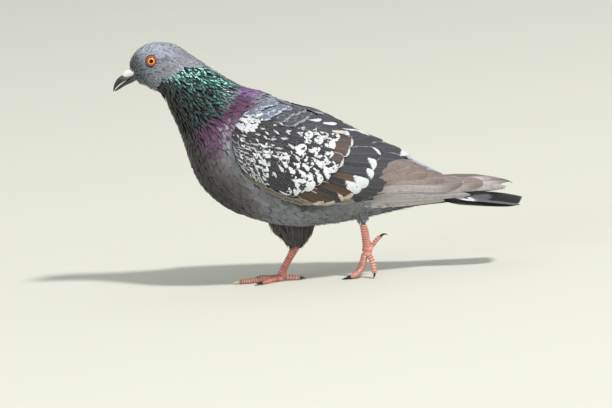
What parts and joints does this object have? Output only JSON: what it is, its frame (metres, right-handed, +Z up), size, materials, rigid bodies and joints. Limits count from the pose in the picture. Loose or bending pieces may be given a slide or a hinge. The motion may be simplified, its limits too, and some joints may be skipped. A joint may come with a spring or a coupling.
{
  "type": "pigeon",
  "caption": "Still life-size feral pigeon caught in mid-stride, head low and forward, one foot flat and the other on its toe tips.",
  "frame": {"origin": "middle of the bounding box's bottom, on the floor under the belly", "axes": "+Z up, the bird faces -X, its left side is to -Y"},
  "size_m": [0.3028, 0.0884, 0.1905],
  "materials": {
    "head_feathers": "short soft blue-grey feathers, darker round the bill",
    "neck_feathers": "pointed iridescent hackles, green above and purple below",
    "body_feathers": "soft slate contour feathers, brown at the breast",
    "wing_feathers": "slate coverts chequered with white",
    "primary_feathers": "grey-brown flight feathers with pale edges",
    "tail_feathers": "slate tail feathers with black tips",
    "bill_horn": "smooth dark horn with a pale cutting edge",
    "cere": "chalky white cere",
    "eye": "wet orange iris with a black pupil",
    "leg_skin": "salmon pink scaled skin",
    "claw_horn": "dark polished horn"
  },
  "bodies": {
    "root": {"head": "head_feathers", "neck": "neck_feathers", "trunk": "body_feathers", "wing_left": "wing_feathers", "wing_right": "wing_feathers", "primaries_left": "primary_feathers", "primaries_right": "primary_feathers", "tail": "tail_feathers", "bill_upper": "bill_horn", "bill_lower": "bill_horn", "cere": "cere", "eye_left": "eye", "eye_right": "eye", "thigh_left": "body_feathers", "thigh_right": "body_feathers", "tarsus_left": "leg_skin", "tarsus_right": "leg_skin", "toe_left_inner": "leg_skin", "claw_left_inner": "claw_horn", "toe_left_middle": "leg_skin", "claw_left_middle": "claw_horn", "toe_left_outer": "leg_skin", "claw_left_outer": "claw_horn", "toe_left_hind": "leg_skin", "claw_left_hind": "claw_horn", "toe_right_inner": "leg_skin", "claw_right_inner": "claw_horn", "toe_right_middle": "leg_skin", "claw_right_middle": "claw_horn", "toe_right_outer": "leg_skin", "claw_right_outer": "claw_horn", "toe_right_hind": "leg_skin", "claw_right_hind": "claw_horn"}
  },
  "joints": []
}
